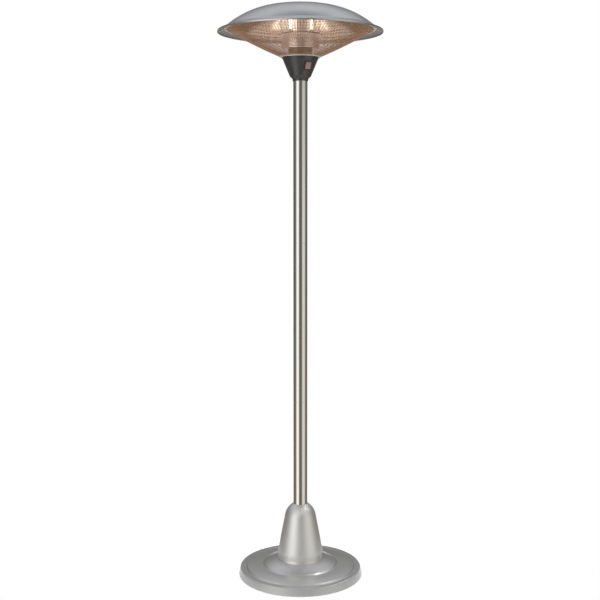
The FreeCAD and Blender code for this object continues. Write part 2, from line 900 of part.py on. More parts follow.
def hood_edges(inset):
    """The hood's section, at a depth below its outer face."""
    crown = sweep_arc(hood_crown_centre, hood_crown_radius - inset, 0.0, hood_crown_turn)
    shoulder = sweep_arc(
        hood_shoulder_centre, hood_shoulder_radius - inset, hood_crown_turn, hood_flare_start)
    flare = sweep_arc(hood_flare_centre, -hood_flare_radius - inset, hood_flare_start, hood_brim_slope)
    drop = left_of(hood_brim_slope) * inset
    brim = line(hood_brim_start - drop, hood_brim_end - drop)
    hem_start = hood_hem_centre + left_of(90.0) * (hood_hem_radius - inset)
    hem = sweep_arc(hood_hem_centre, hood_hem_radius - inset, hood_brim_slope, 90.0)
    edge = line(hem_start, hem_start - UP * hood_hem_height)
    return [crown, shoulder, flare, brim, hem, edge]


def hood_under(radius):
    """Height of the brim's underside at a radius."""
    fall = (radius - hood_brim_start.x) * math.tan(math.radians(hood_brim_slope))
    return hood_brim_start.z - fall - hood_wall / math.cos(math.radians(hood_brim_slope))


def hood_inside(radius):
    """Height of the shoulder's inner face at a radius."""
    inner = hood_shoulder_radius - hood_wall
    return hood_shoulder_centre.z + math.sqrt(inner ** 2 - (radius - hood_shoulder_centre.x) ** 2)


def hood():
    shell = spun(strip(hood_edges(0.0), hood_edges(hood_wall)))
    screw_hole = peg(
        hood_screw_radius + screw_clearance, spacer_top - cut_past, hood_top + cut_past,
        hood_screw_circle_radius)
    rivet_hole = rivet_bar(rivet_radius + rivet_clearance, -clip_wall, 3 * hood_wall)
    return shell.cut(around(screw_hole, lamp_count, lamp_turn) + around(rivet_hole, clip_count))


def hood_spacers():
    pillar = peg(spacer_radius, top_plate_top, spacer_top, hood_screw_circle_radius)
    hole = peg(hood_screw_radius + screw_clearance, 0, hood_top, hood_screw_circle_radius)
    return around(pillar.cut(hole), lamp_count, lamp_turn)


def hood_screws():
    seat = hood_top - crown_drop(hood_screw_circle_radius - hood_screw_head_radius)
    ball = (hood_screw_head_radius ** 2 + hood_screw_head_height ** 2) / (2 * hood_screw_head_height)
    centre = Vector(hood_screw_circle_radius, 0, seat + hood_screw_head_height - ball)
    cap = Part.makeSphere(ball, centre).common(
        peg(hood_screw_head_radius, seat, seat + hood_screw_head_height, hood_screw_circle_radius))
    tail = bay_top - nut_height - hood_screw_tail
    shank = peg(hood_screw_radius, tail, seat + hood_screw_head_height / 2, hood_screw_circle_radius)
    return around(cap.fuse(shank), lamp_count, lamp_turn)


def hood_nuts():
    body = hexagon(hood_nut_flats, bay_top - nut_height, nut_height, hood_screw_circle_radius)
    hole = peg(hood_screw_radius + thread_clearance, 0, hood_top, hood_screw_circle_radius)
    return around(body.cut(hole), lamp_count, lamp_turn)


# Wire guard

guard_top_radius = hood_brim_start.x - guard_brim_inset
guard_ring_top = housing_top + guard_ring_wall
guard_lip_slope = math.atan2(guard_ring_lip_rise, guard_ring_lip_width)
guard_foot = flat(
    guard_ring_radius + guard_ring_lip_width / 2,
    guard_ring_top + guard_ring_lip_rise / 2
    + (guard_rod_diameter / 2 + guard_weld_gap) / math.cos(guard_lip_slope) + guard_foot_lift)
guard_head = flat(guard_top_radius, hood_inside(guard_top_radius) - guard_hood_gap)
guard_way = (guard_head - guard_foot).normalize()
guard_out = Vector(guard_way.z, 0, -guard_way.x)
guard_chord = (guard_head - guard_foot).Length
guard_bend_radius = guard_chord ** 2 / (8 * guard_bulge) + guard_bulge / 2
guard_bend_turn = 2 * math.asin(guard_chord / (2 * guard_bend_radius))
guard_bend_centre = (guard_foot + guard_head) * 0.5 - guard_out * (guard_bend_radius - guard_bulge)
guard_length = guard_bend_radius * guard_bend_turn


def guard_normal(distance):
    """Unit vector square to the rods, outwards, at a distance along them from the foot."""
    angle = distance / guard_bend_radius - guard_bend_turn / 2
    return guard_out * math.cos(angle) + guard_way * math.sin(angle)


def guard_place(distance, offset):
    """A point off the rods' middle line, at a distance along them from the foot."""
    return guard_bend_centre + guard_normal(distance) * (guard_bend_radius + offset)


guard_rim_offset = guard_rod_diameter / 2 + guard_weld_gap + guard_rim_diameter / 2
guard_rim_centre = guard_place(guard_length - guard_rim_margin, guard_rim_offset)


def guard_base_ring():
    corners = [
        (column_foot_radius + column_ring_clearance, guard_ring_top, 0),
        (guard_ring_radius, guard_ring_top, guard_ring_rounding),
        (guard_ring_radius + guard_ring_lip_width, guard_ring_top + guard_ring_lip_rise, 0),
    ]
    return spun(sheet(corners, guard_ring_wall))


def guard_rods():
    normal = guard_normal(0.0)
    way = Vector(-normal.z, 0, normal.x)
    section = Part.Face(Part.Wire(Part.makeCircle(guard_rod_diameter / 2, guard_foot, way)))
    bent = section.revolve(guard_bend_centre, BACK * -1, math.degrees(guard_bend_turn))
    return around(bent, guard_rod_count)


def guard_rings():
    offset = guard_rod_diameter / 2 + guard_weld_gap + guard_hoop_diameter / 2
    first = guard_ring_lip_width / 2 + guard_hoop_margin
    last = guard_length - guard_rim_margin - guard_rim_diameter - guard_hoop_margin
    count = int((last - first) / guard_hoop_pitch) + 1
    hoops = []
    for index in range(count):
        centre = guard_place(first + index * guard_hoop_pitch, offset)
        hoops.append(hoop(centre.x, centre.z, guard_hoop_diameter))
    return hoops


def guard_rim():
    return hoop(guard_rim_centre.x, guard_rim_centre.z, guard_rim_diameter)


def clip_corners():
    """The clip's upper face: a hook under the rim, then up to the brim's underside."""
    hook = guard_rim_centre.z - guard_rim_diameter / 2 - clip_gap
    bend = guard_rim_centre.x + clip_hook
    rise = bend + clip_rise_width
    return [
        (guard_rim_centre.x - clip_hook, hook, 0),
        (bend, hook, clip_wall),
        (rise, hood_under(rise) - clip_gap, clip_wall),
        (rivet_circle() + clip_reach, hood_under(rivet_circle() + clip_reach) - clip_gap, 0),
    ]


def rivet_circle():
    return (hood_brim_start.x + hood_brim_end.x) / 2 + clip_wall


def rivet_bar(radius, start, end):
    """A round bar square to the brim, measured from the clip's upper face."""
    base = flat(rivet_circle(), hood_under(rivet_circle()) - clip_gap)
    way = left_of(hood_brim_slope)
    return Part.makeCylinder(radius, end - start, base + way * start, way)


def guard_clips():
    section = sheet(clip_corners(), clip_wall)
    section.translate(Vector(0, -clip_width / 2, 0))
    tab = section.extrude(Vector(0, clip_width, 0))
    hole = rivet_bar(rivet_radius + rivet_clearance, -3 * clip_wall, clip_wall)
    return around(tab.cut(hole), clip_count)


def guard_rivets():
    head = rivet_bar(rivet_head_radius, -clip_wall - rivet_head_height, -clip_wall)
    shank = rivet_bar(rivet_radius, -clip_wall - rivet_head_height / 2, clip_gap + hood_wall)
    return around(head.fuse(shank), clip_count)


# Lamp tower

def lamp_column():
    shelf = column_bottom + column_foot_height
    return spun(sheet([
        (column_radius, lamp_plate_bottom, 0),
        (column_radius, shelf, column_rounding),
        (column_foot_radius, shelf, column_rounding),
        (column_foot_radius, column_bottom, 0),
    ], column_wall))


def lamp_plate(radius, bottom):
    disc = tube(chassis_bore_radius, radius, bottom, bottom + lamp_plate_wall)
    hole = peg(tie_radius + screw_clearance, bottom - cut_past, spacer_top, tie_circle_radius)
    return disc.cut(around(hole, lamp_count, tie_turn))


def lamp_plate_upper():
    hole = peg(hood_screw_radius + screw_clearance, bay_top - cut_past, spacer_top, hood_screw_circle_radius)
    return lamp_plate(top_plate_radius, bay_top).cut(around(hole, lamp_count, lamp_turn))


def star(inset):
    """The reflector's section: a disc with a trough behind each lamp."""
    out = lamp_circle_radius + trough_offset
    disc = Part.makeCylinder(reflector_radius - inset, lamp_bay_height, Vector(0, 0, bay_bottom))
    trough = peg(trough_radius + inset, bay_bottom - cut_past, bay_top + cut_past, out)
    return disc.cut(around(trough, lamp_count, lamp_turn))


def lamp_reflector():
    return star(0.0).cut(star(reflector_wall))


def tie_rods():
    bottom = lamp_plate_bottom - nut_height - tie_tail
    top = top_plate_top + nut_height + tie_head_tail
    return around(peg(tie_radius, bottom, top, tie_circle_radius), lamp_count, tie_turn)


def tie_nuts():
    hole = peg(tie_radius + thread_clearance, 0, hood_top, tie_circle_radius)
    lower = hexagon(nut_flats, lamp_plate_bottom - nut_height, nut_height, tie_circle_radius).cut(hole)
    upper = hexagon(nut_flats, top_plate_top, nut_height, tie_circle_radius).cut(hole)
    return around(lower, lamp_count, tie_turn) + around(upper, lamp_count, tie_turn)


bay_middle = (bay_bottom + bay_top) / 2
holder_top = bay_bottom + holder_height
glass_bottom = holder_top + lamp_cap_height
plug_top = glass_bottom + lamp_plug_length


def lamp_tube(turn):
    top = 2 * bay_middle - glass_bottom
    outer = peg(lamp_tube_radius, glass_bottom, top, lamp_circle_radius)
    inner = peg(lamp_tube_radius - lamp_glass, glass_bottom, top, lamp_circle_radius)
    return at_turn(outer.cut(inner), turn)


def lamp_filament(turn):
    return at_turn(peg(filament_radius, plug_top, 2 * bay_middle - plug_top, lamp_circle_radius), turn)


def lamp_caps(turn):
    pin = peg(lamp_pin_radius, holder_top - lamp_pin_length, plug_top, lamp_circle_radius)
    collar = peg(lamp_tube_radius, holder_top, glass_bottom, lamp_circle_radius)
    plug = peg(
        lamp_tube_radius - lamp_glass - lamp_plug_clearance, holder_top, plug_top, lamp_circle_radius)
    lower = at_turn(pin.fuse([collar, plug]).removeSplitter(), turn)
    return [lower, mirrored(lower, bay_middle)]


def lamp_holder(turn):
    body = peg(holder_radius, bay_bottom, holder_top, lamp_circle_radius)
    socket = peg(
        lamp_pin_radius + lamp_pin_clearance, holder_top - lamp_pin_length - lamp_pin_clearance,
        holder_top + cut_past, lamp_circle_radius)
    return at_turn(body.cut(socket), turn)


def cage_radius(height):
    """Radius of the cage's rods at a height in the lamp bay."""
    return cage_foot_radius + cage_flare * (height - bay_bottom) / lamp_bay_height


def lamp_cage():
    foot = bay_bottom + cage_end_gap
    head = bay_top - cage_end_gap
    lean = math.atan2(cage_flare, lamp_bay_height)
    end_trim = cage_rod_diameter / 2 * math.sin(lean)
    upright = rod(
        flat(cage_radius(foot + end_trim), foot + end_trim),
        flat(cage_radius(head - end_trim), head - end_trim), cage_rod_diameter)
    pieces = around(upright, cage_rod_count)
    for rise in cage_hoop_heights:
        radius = cage_radius(bay_bottom + rise) + (cage_rod_diameter + guard_weld_gap) / math.cos(lean)
        pieces.append(hoop(radius, bay_bottom + rise, cage_rod_diameter))
    return pieces


# Every piece goes to a file of its own

def save_all():
    save("base_cover", base_cover())
    save("base_plate", base_plate())
    save("ballast", ballast())
    save("rubber_feet", *rubber_feet())
    save("foot_screws", *foot_screws())
    save("cable_gland", cable_gland())
    save("gland_nut", gland_nut())
    save("pole_flange", pole_flange())
    save("flange_bolts", *flange_bolts())
    save("flange_washers", *flange_washers())
    for index, name in enumerate(POLE_NAMES):
        save(name, pole_section(index))
    for index, name in enumerate(SLEEVE_NAMES):
        save(name, joint_sleeve(index + 1))
    save("foot_cone", foot_cone())
    save("neck_collar", neck_collar())
    save("control_housing", control_housing())
    save("head_chassis", head_chassis())
    save("chassis_screws", *chassis_screws())
    save("switch_frame", switch_frame())
    save("switch_rocker", switch_rocker())
    save("switch_terminals", *switch_terminals())
    save("terminal_block", terminal_block())
    save("tip_switch_bracket", tip_switch_bracket())
    save("tip_switch_pendulum", tip_switch_pendulum())
    save("guard_base_ring", guard_base_ring())
    save("guard_rods", *guard_rods())
    save("guard_rings", *guard_rings())
    save("guard_rim", guard_rim())
    save("guard_clips", *guard_clips())
    save("guard_rivets", *guard_rivets())
    save("lamp_column", lamp_column())
    save("lamp_plate_lower", lamp_plate(lamp_plate_radius, lamp_plate_bottom))
    save("lamp_plate_upper", lamp_plate_upper())
    save("lamp_reflector", lamp_reflector())
    save("tie_rods", *tie_rods())
    save("tie_nuts", *tie_nuts())
    for index in range(lamp_count):
        turn = lamp_turn + 360.0 * index / lamp_count
        number = str(index + 1)
        save("lamp_tube_" + number, lamp_tube(turn))
        save("lamp_filament_" + number, lamp_filament(turn))
        save("lamp_caps_" + number, *lamp_caps(turn))
        save("lamp_holder_lower_" + number, lamp_holder(turn))
        save("lamp_holder_upper_" + number, mirrored(lamp_holder(turn), bay_middle))
    save("lamp_cage", *lamp_cage())
    save("hood", hood())
    save("hood_spacers", *hood_spacers())
    save("hood_screws", *hood_screws())
    save("hood_nuts", *hood_nuts())


os.makedirs("parts", exist_ok=True)
save_all()
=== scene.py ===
import json
import math

import bpy
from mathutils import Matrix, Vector


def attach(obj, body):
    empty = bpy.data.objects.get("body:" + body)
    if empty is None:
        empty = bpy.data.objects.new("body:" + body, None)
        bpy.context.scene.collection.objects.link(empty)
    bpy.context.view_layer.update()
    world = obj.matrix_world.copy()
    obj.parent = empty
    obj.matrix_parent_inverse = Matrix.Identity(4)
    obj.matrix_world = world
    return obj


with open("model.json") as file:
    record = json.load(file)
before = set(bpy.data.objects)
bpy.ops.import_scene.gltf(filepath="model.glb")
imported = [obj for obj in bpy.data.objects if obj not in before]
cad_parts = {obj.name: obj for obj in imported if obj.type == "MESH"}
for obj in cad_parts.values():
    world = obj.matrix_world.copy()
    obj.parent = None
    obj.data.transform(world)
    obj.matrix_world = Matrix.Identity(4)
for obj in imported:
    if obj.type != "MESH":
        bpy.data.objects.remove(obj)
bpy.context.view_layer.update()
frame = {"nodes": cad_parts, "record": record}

# Looks of a free-standing patio heater: metals, paint, plastics, lit lamps, a soft studio and the camera.
# Metres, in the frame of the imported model: the floor is z = 0 and the front faces -Y.

scene = bpy.context.scene
scene.view_settings.view_transform = "Standard"


# Short ways to write node trees

def add(tree, kind, inputs=None, **settings):
    """A new shader node, with its settings, and with values or links for its inputs."""
    made = tree.nodes.new("ShaderNode" + kind)
    for name, value in settings.items():
        setattr(made, name, value)
    for key, value in (inputs or {}).items():
        fill(tree, made.inputs[key], value)
    return made


def fill(tree, socket, value):
    """Links the socket to another one, or sets a value on it."""
    if isinstance(value, bpy.types.NodeSocket):
        tree.links.new(value, socket)
    else:
        socket.default_value = value


def math_of(tree, operation, *values):
    node = add(tree, "Math", dict(enumerate(values)), operation=operation)
    return node.outputs[0]


def product(tree, first, *others):
    for other in others:
        first = math_of(tree, "MULTIPLY", first, other)
    return first


def largest(tree, first, *others):
    for other in others:
        first = math_of(tree, "MAXIMUM", first, other)
    return first


def ramp(tree, value, limits, start, end):
    """The value carried from between its limits to another range, smoothly and without leaving it."""
    low, high = limits
    node = add(
        tree, "MapRange",
        {"Value": value, "From Min": low, "From Max": high, "To Min": start, "To Max": end},
        interpolation_type="SMOOTHSTEP")
    return node.outputs["Result"]


def rise(tree, value, limits):
    return ramp(tree, value, limits, 0.0, 1.0)


def fall(tree, value, limits):
    return ramp(tree, value, limits, 1.0, 0.0)


def blend_colour(tree, factor, first, second):
    node = add(tree, "Mix", {0: factor, 6: first, 7: second}, data_type="RGBA")
    return node.outputs[2]


def blend_value(tree, factor, first, second):
    node = add(tree, "Mix", {0: factor, 2: first, 3: second}, data_type="FLOAT")
    return node.outputs[0]


def noise(tree, place, scale=1.0, detail=2.0):
    return add(tree, "TexNoise", {"Vector": place, "Scale": scale, "Detail": detail}).outputs["Fac"]


NOISE_LIMITS = (0.3, 0.7)


def uneven(tree, texture, smooth, rough):
    """Roughness that follows a noise, whose values lie mostly between the limits above."""
    return ramp(tree, texture, NOISE_LIMITS, smooth, rough)


def stretched(tree, place, level, upright):
    """Coordinates with one scale sideways and another one upward."""
    node = add(tree, "Mapping", {"Vector": place, "Scale": (level, level, upright)})
    return node.outputs["Vector"]


def bump(tree, height, strength, distance):
    node = add(tree, "Bump", {"Height": height, "Strength": strength, "Distance": distance})
    return node.outputs["Normal"]


def place_of(tree):
    """Position on the part, in metres, which stays with a piece as it moves."""
    return add(tree, "TexCoord").outputs["Object"]


def axis_of(tree, vector, index):
    return add(tree, "SeparateXYZ", {"Vector": vector}).outputs[index]


def radius_of(tree, place):
    """Distance from the pole's axis."""
    level = add(tree, "VectorMath", {0: place, 1: (1.0, 1.0, 0.0)}, operation="MULTIPLY").outputs["Vector"]
    return add(tree, "VectorMath", {0: level}, operation="LENGTH").outputs["Value"]


def angle_of(tree, place):
    """Angle round the pole's axis."""
    return math_of(tree, "ARCTAN2", axis_of(tree, place, 1), axis_of(tree, place, 0))


def polar(tree, place, radial, turning, upward):
    """Coordinates that run round the pole: radius, angle and height, each with a scale."""
    node = add(tree, "CombineXYZ", {
        0: product(tree, radius_of(tree, place), radial),
        1: product(tree, angle_of(tree, place), turning),
        2: product(tree, axis_of(tree, place, 2), upward),
    })
    return node.outputs["Vector"]


def new_material(name):
    material = bpy.data.materials.new(name)
    material.use_nodes = True
    tree = material.node_tree
    return material, tree, tree.nodes["Principled BSDF"]


def set_shader(tree, shader, values):
    for key, value in values.items():
        fill(tree, shader.inputs[key], value)


def grey(value):
    return (value, value, value, 1.0)


# Materials, one for each slot of the record
# A pair of limits says between which values a look changes: radii, heights, directions or noise.

LAMP_COUNT = 3
GLOW_STRENGTH = 1.15
GLOW_INNER_EDGE = (0.090, 0.195)
GLOW_OUTER_EDGE = (0.213, 0.240)
GLOW_FAN_EDGE = (-0.20, 0.30)
GLOW_STREAK_LIMITS = (0.36, 0.64)
GLOW_BETWEEN_STREAKS = 0.35


def hollow_glow(tree, place):
    """Painted light: a glow that stands in for the light the three lamps throw on the hollow, a streaked
    fan outward of each of them.
    """
    lobes = math_of(tree, "SINE", product(tree, angle_of(tree, place), -LAMP_COUNT))
    fan = ramp(tree, lobes, GLOW_FAN_EDGE, 0.0, GLOW_STRENGTH)
    radius = radius_of(tree, place)
    inner = rise(tree, radius, GLOW_INNER_EDGE)
    outer = fall(tree, radius, GLOW_OUTER_EDGE)
    grain = noise(tree, polar(tree, place, radial=22.0, turning=13.0, upward=0.0))
    streaks = ramp(tree, grain, GLOW_STREAK_LIMITS, GLOW_BETWEEN_STREAKS, 1.0)
    return product(tree, fan, inner, outer, streaks)


HOOD_OUTSIDE = (-0.06, 0.02)
HOOD_BRIM = (0.262, 0.266)


def spun_aluminium():
    """Hood: satin sheet spun in fine circles. Its hollow is polished, with a warm tint and a glow that are
    painted lamp light; its brim is a darker grey below, painted shade.
    """
    material, tree, shader = new_material("hood_aluminium")
    place = place_of(tree)
    rings = noise(tree, polar(tree, place, radial=1400.0, turning=0.6, upward=1400.0), detail=3.0)
    clouds = noise(tree, place, scale=9.0)
    facing_up = axis_of(tree, add(tree, "NewGeometry").outputs["Normal"], 2)
    outside = rise(tree, facing_up, HOOD_OUTSIDE)
    brim = rise(tree, radius_of(tree, place), HOOD_BRIM)
    satin = blend_colour(tree, rings, (0.53, 0.535, 0.555, 1), (0.62, 0.625, 0.645, 1))
    # painted light: the hollow's warm tint stands in for the lamps' warm light
    warm = blend_colour(tree, rings, (0.76, 0.585, 0.475, 1), (0.88, 0.70, 0.58, 1))
    # painted shade: the brim's underside is a darker grey than the outside
    dull_and_shaded = blend_colour(tree, rings, (0.30, 0.30, 0.305, 1), (0.38, 0.38, 0.385, 1))
    below = blend_colour(tree, brim, warm, dull_and_shaded)
    rough_above = uneven(tree, clouds, smooth=0.22, rough=0.30)
    rough_below = blend_value(tree, brim, 0.10, 0.50)
    set_shader(tree, shader, {
        "Base Color": blend_colour(tree, outside, below, satin),
        "Metallic": 1.0,
        "Roughness": blend_value(tree, outside, rough_below, rough_above),
        "Emission Color": (1.0, 0.78, 0.56, 1),
        # painted light: the hollow glows where the lamps would light it
        "Emission Strength": blend_value(tree, outside, hollow_glow(tree, place), 0.0),
        "Anisotropic": 0.4,
        "Tangent": add(tree, "Tangent", direction_type="RADIAL", axis="Z").outputs["Tangent"],
        "Normal": bump(tree, rings, strength=0.12, distance=0.0002),
    })
    return material


BASE_SKIRT = (0.2185, 0.2205)
BASE_SKIRT_ROUGHNESS = 0.50


def silver_paint():
    """Base: silver powder coat with fine metal flakes and a faint orange peel, duller on the skirt, where
    its darker colour is painted shade.
    """
    material, tree, shader = new_material("base_paint")
    place = place_of(tree)
    flakes = add(tree, "TexVoronoi", {"Vector": place, "Scale": 1800.0}).outputs["Color"]
    shine = axis_of(tree, flakes, 0)
    peel = noise(tree, place, scale=320.0)
    clouds = noise(tree, place, scale=14.0)
    skirt = rise(tree, radius_of(tree, place), BASE_SKIRT)
    silver = blend_colour(tree, shine, (0.52, 0.525, 0.525, 1), (0.58, 0.585, 0.585, 1))
    # painted shade: the skirt's colour is a darker copy of the silver
    dull_and_shaded = blend_colour(tree, shine, (0.40, 0.405, 0.405, 1), (0.45, 0.455, 0.455, 1))
    rough_top = uneven(tree, clouds, smooth=0.30, rough=0.36)
    set_shader(tree, shader, {
        "Base Color": blend_colour(tree, skirt, silver, dull_and_shaded),
        "Metallic": 0.8,
        "Roughness": blend_value(tree, skirt, rough_top, BASE_SKIRT_ROUGHNESS),
        "Coat Weight": 0.5,
        "Coat Roughness": 0.10,
        "Normal": bump(tree, peel, strength=0.05, distance=0.0004),
    })
    return material


STREAK_LENGTH = 150
STREAK_SHARE = 0.6


def brushed_metal(name, dark, light, smooth, rough, streaks, metallic=1.0):
    """Steel brushed upright: streaks much longer than wide, and a few cloudy marks in the gloss."""
    material, tree, shader = new_material(name)
    place = place_of(tree)
    fine = noise(tree, stretched(tree, place, level=streaks, upright=streaks / STREAK_LENGTH), detail=3.0)
    clouds = noise(tree, stretched(tree, place, level=18.0, upright=5.0))
    grain = blend_value(tree, STREAK_SHARE, clouds, fine)
    set_shader(tree, shader, {
        "Base Color": blend_colour(tree, fine, dark, light),
        "Metallic": metallic,
        "Roughness": uneven(tree, grain, smooth, rough),
        "Normal": bump(tree, fine, strength=0.06, distance=0.0002),
    })
    return material


def moulded_plastic(name, dark, light, smooth, rough, grain_scale, emission=0.0):
    """Moulded plastic with a fine grain and slightly uneven gloss. It may glow in its own colour."""
    material, tree, shader = new_material(name)
    place = place_of(tree)
    grain = noise(tree, place, grain_scale, detail=3.0)
    clouds = noise(tree, place, scale=45.0)
    colour = blend_colour(tree, clouds, dark, light)
    set_shader(tree, shader, {
        "Base Color": colour,
        "Roughness": uneven(tree, clouds, smooth, rough),
        "Normal": bump(tree, grain, strength=0.15, distance=0.0002),
        "Emission Color": colour,
        "Emission Strength": emission,
    })
    return material


CAST_GRAIN_FINENESS = 6


def cast_surface(name, dark, light, metallic, smooth, rough, scale, depth):
    """Uneven surface of castings, zinc coats, ceramic, rubber and brass."""
    material, tree, shader = new_material(name)
    place = place_of(tree)
    patches = noise(tree, place, scale, detail=4.0)
    grain = noise(tree, place, scale * CAST_GRAIN_FINENESS)
    set_shader(tree, shader, {
        "Base Color": blend_colour(tree, patches, dark, light),
        "Metallic": metallic,
        "Roughness": uneven(tree, patches, smooth, rough),
        "Normal": bump(tree, grain, strength=0.2, distance=depth),
    })
    return material


GUARD_FOOT = (0.0715, 0.0725)
GUARD_RIM = (0.253, 0.256)
GUARD_FOOT_ROUGHNESS = 0.55


def copper_wire():
    """Guard: copper-toned plated wire, tarnished here and there. Its rim and base ring are bright."""
    material, tree, shader = new_material("guard_wire")
    place = place_of(tree)
    tarnish = noise(tree, place, scale=60.0, detail=3.0)
    drawn = noise(tree, place, scale=900.0)
    radius = radius_of(tree, place)
    rim = rise(tree, radius, GUARD_RIM)
    foot = fall(tree, radius, GUARD_FOOT)
    copper = blend_colour(tree, tarnish, (0.45, 0.30, 0.215, 1), (0.62, 0.445, 0.34, 1))
    rough_wire = uneven(tree, tarnish, smooth=0.42, rough=0.54)
    set_shader(tree, shader, {
        "Base Color": blend_colour(tree, largest(tree, rim, foot), copper, (0.93, 0.87, 0.83, 1)),
        "Metallic": 1.0,
        "Roughness": blend_value(tree, foot, rough_wire, GUARD_FOOT_ROUGHNESS),
        "Normal": bump(tree, drawn, strength=0.1, distance=0.0001),
    })
    return material


COLUMN_SHELF = (1.8925, 1.8940)
COLUMN_BEAD = (1.8940, 1.8985)
LAMP_SEAM = (1.9425, 1.9435)
LAMP_BAY = (1.9462, 1.9472)
TROUGH = (0.034, 0.050)
SIDE_CHANGE = (-0.02, 0.02)
DIMMER_SIDE = 0.5
COLUMN_GLOW = 0.17
REFLECTOR_ROUGHNESS = 0.50


def tower_metal():
    """Lamp column: pinkish sheet with faint rolling lines, the pink tint painted warm lamp light. It is
    dark below its shelf, painted shade, and at the plate that closes it. The reflector above is cream and
    matt. A painted glow stands in for the lamps' light on its troughs and faintly on the column, the right
    side less."""
    material, tree, shader = new_material("tower_metal")
    place = place_of(tree)
    lines = noise(tree, stretched(tree, place, level=30.0, upright=1500.0))
    clouds = noise(tree, place, scale=40.0)
    height = axis_of(tree, place, 2)
    above_shelf = rise(tree, height, COLUMN_SHELF)
    above_bead = rise(tree, height, COLUMN_BEAD)
    seam = rise(tree, height, LAMP_SEAM)
    bay = rise(tree, height, LAMP_BAY)
    # painted light: the column's pink tint stands in for the lamps' warm light
    pink = blend_colour(tree, lines, (0.88, 0.74, 0.64, 1), (0.96, 0.82, 0.72, 1))
    pink = blend_colour(tree, above_bead, (0.98, 0.84, 0.78, 1), pink)
    # painted shade: dark below the shelf
    pink = blend_colour(tree, above_shelf, (0.22, 0.16, 0.13, 1), pink)
    pink = blend_colour(tree, seam, pink, (0.12, 0.09, 0.07, 1))
    cream = blend_colour(tree, lines, (0.90, 0.82, 0.72, 1), (0.96, 0.89, 0.80, 1))
    rough_column = uneven(tree, clouds, smooth=0.14, rough=0.22)
    # painted light: the troughs and the column glow as if lit by the lamps, the right side dimmer
    lit_trough = product(tree, bay, fall(tree, radius_of(tree, place), TROUGH))
    lit_column = product(tree, above_shelf, COLUMN_GLOW)
    side = ramp(tree, axis_of(tree, place, 0), SIDE_CHANGE, 1.0, DIMMER_SIDE)
    set_shader(tree, shader, {
        "Base Color": blend_colour(tree, bay, pink, cream),
        "Metallic": 1.0,
        "Roughness": blend_value(tree, bay, rough_column, REFLECTOR_ROUGHNESS),
        "Emission Color": (0.80, 0.72, 0.62, 1),
        "Emission Strength": product(tree, largest(tree, lit_trough, lit_column), side),
        "Normal": bump(tree, lines, strength=0.06, distance=0.0001),
    })
    return material


def quartz_glass():
    """Lamp tubes: clear quartz, faintly hazed, glowing with the filament's light."""
    material, tree, shader = new_material("quartz")
    haze = noise(tree, place_of(tree), scale=120.0)
    set_shader(tree, shader, {
        "Base Color": (1.0, 0.97, 0.92, 1),
        "Roughness": uneven(tree, haze, smooth=0.03, rough=0.10),
        "IOR": 1.46,
        "Transmission Weight": 1.0,
        "Emission Color": (1.0, 0.88, 0.70, 1),
        "Emission Strength": 0.5,
    })
    return material


def hot_filament():
    """Filaments: glowing metal in fine bands, as of a coil."""
    material, tree, shader = new_material("filament")
    coil = noise(tree, stretched(tree, place_of(tree), level=1.0, upright=900.0))
    set_shader(tree, shader, {
        "Base Color": blend_colour(tree, coil, (0.5, 0.4, 0.3, 1), (0.9, 0.8, 0.6, 1)),
        "Metallic": 1.0,
        "Roughness": 0.5,
        "Emission Color": blend_colour(tree, coil, (1.0, 0.66, 0.34, 1), (1.0, 0.86, 0.62, 1)),
        "Emission Strength": 2.5,
    })
    return material


materials = {
    "hood_aluminium": spun_aluminium(),
    "base_paint": silver_paint(),
    "cone_steel": brushed_metal(
        "cone_steel", dark=(0.66, 0.66, 0.645, 1), light=(0.76, 0.76, 0.74, 1),
        smooth=0.42, rough=0.48, streaks=1800.0, metallic=0.9),
    "pole_steel": brushed_metal(
        "pole_steel", dark=(0.60, 0.59, 0.56, 1), light=(0.70, 0.69, 0.66, 1),
        smooth=0.10, rough=0.18, streaks=2400.0),
    "housing_black": moulded_plastic(
        "housing_black", dark=grey(0.032), light=grey(0.044),
        smooth=0.12, rough=0.32, grain_scale=1400.0),
    "switch_black": moulded_plastic(
        "switch_black", dark=grey(0.012), light=grey(0.018),
        smooth=0.28, rough=0.36, grain_scale=1800.0),
    "switch_red": moulded_plastic(
        "switch_red", dark=(0.20, 0.11, 0.115, 1), light=(0.27, 0.16, 0.16, 1),
        smooth=0.22, rough=0.30, grain_scale=2200.0, emission=0.15),
    "guard_wire": copper_wire(),
    "tower_metal": tower_metal(),
    "quartz": quartz_glass(),
    "filament": hot_filament(),
    "ceramic": cast_surface(
        "ceramic", dark=(0.70, 0.67, 0.61, 1), light=(0.84, 0.81, 0.75, 1), metallic=0.0,
        smooth=0.5, rough=0.65, scale=90.0, depth=0.0004),
    "zinc_steel": cast_surface(
        "zinc_steel", dark=grey(0.48), light=grey(0.62), metallic=1.0,
        smooth=0.30, rough=0.45, scale=150.0, depth=0.0002),
    "cast_iron": cast_surface(
        "cast_iron", dark=grey(0.05), light=grey(0.10), metallic=0.4,
        smooth=0.65, rough=0.85, scale=120.0, depth=0.001),
    "rubber": cast_surface(
        "rubber", dark=grey(0.018), light=grey(0.03), metallic=0.0,
        smooth=0.70, rough=0.85, scale=200.0, depth=0.0004),
    "terminal_brass": cast_surface(
        "terminal_brass", dark=(0.66, 0.48, 0.22, 1), light=(0.80, 0.62, 0.34, 1), metallic=1.0,
        smooth=0.22, rough=0.34, scale=160.0, depth=0.0002),
}

for part in frame["record"]["subparts"]:
    cad_piece = frame["nodes"][part["node"]]
    cad_piece.data.materials.clear()
    cad_piece.data.materials.append(materials[part["material_slot"]])


# Rolled edge of the guard's base ring, which shows as a silver line above the housing

RING_EDGE_RADIUS = 0.0694
RING_EDGE_HEIGHT = 1.8669
RING_EDGE_THICKNESS = 0.0034
RING_EDGE_STEPS = 144
RING_EDGE_SIDES = 12


